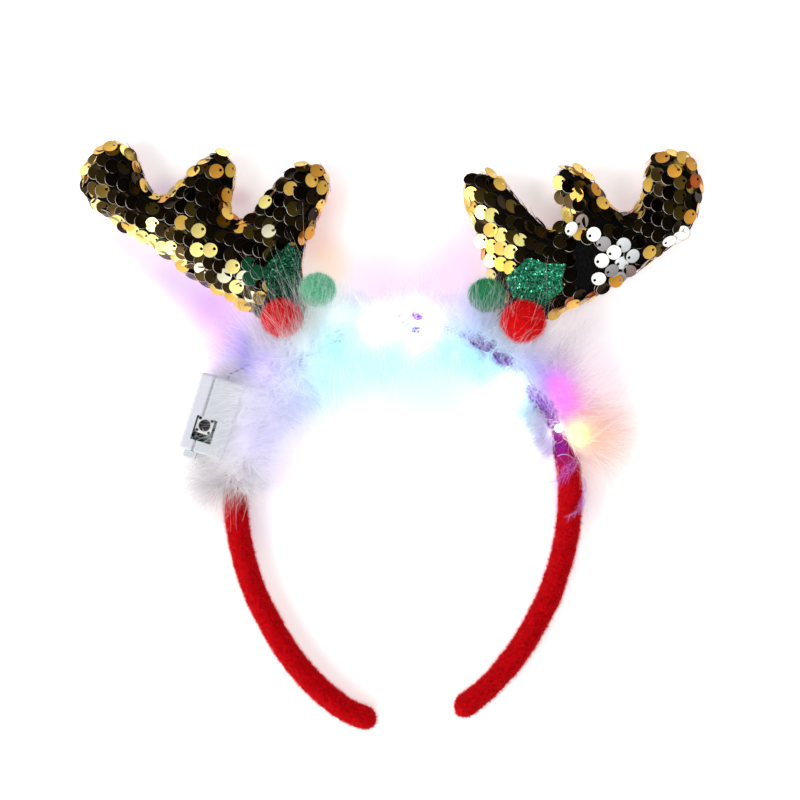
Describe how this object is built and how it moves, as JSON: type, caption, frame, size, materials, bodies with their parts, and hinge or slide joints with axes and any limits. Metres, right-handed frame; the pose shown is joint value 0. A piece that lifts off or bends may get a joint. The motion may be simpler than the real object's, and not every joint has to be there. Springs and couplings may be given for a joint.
{
  "type": "reindeer antler headband",
  "caption": "Padded red headband with stuffed sequinned antlers, a lit white fur trim, holly leaves, berry pompoms and a push-button battery case.",
  "frame": {"origin": "on the floor under the middle of the whole headband's box, as it lies on its back", "axes": "+X across the head toward the right antler, +Y up through the arch to the antlers, +Z out of the sequinned front"},
  "size_m": [0.2244, 0.2134, 0.034],
  "materials": {
    "red_velour": "matte",
    "white_marabou": "matte",
    "gold_sequins": "gloss",
    "dark_green_glitter": "satin",
    "green_glitter": "satin",
    "red_pompom": "matte",
    "green_pompom": "matte",
    "lit_bead": "gloss",
    "wire_white": "satin",
    "white_plastic": "satin",
    "board_green": "satin",
    "switch_steel": "satin",
    "black_plastic": "satin"
  },
  "bodies": {
    "headband": {"headband": "red_velour", "fur_trim": "white_marabou", "antler_left": "gold_sequins", "antler_right": "gold_sequins", "holly_leaf_left": "dark_green_glitter", "holly_leaf_right": "green_glitter", "berry_red_left": "red_pompom", "berry_red_right": "red_pompom", "berry_green_left": "green_pompom", "berry_green_right": "green_pompom", "led_1": "lit_bead", "led_2": "lit_bead", "led_3": "lit_bead", "led_4": "lit_bead", "led_5": "lit_bead", "led_6": "lit_bead", "led_7": "lit_bead", "led_8": "lit_bead", "led_9": "lit_bead", "led_10": "lit_bead", "led_lead": "wire_white", "battery_case": "white_plastic", "battery_lid": "white_plastic", "circuit_board": "board_green", "switch_housing": "switch_steel"},
    "button": {"switch_button": "black_plastic"}
  },
  "joints": [
    {"name": "button_press", "type": "slide", "parent": "headband", "child": "button", "axis": [0, 0, -1], "range_m": [0, 0.00025], "stiffness_N_per_m": 50, "springref_m": -0.001}
  ]
}
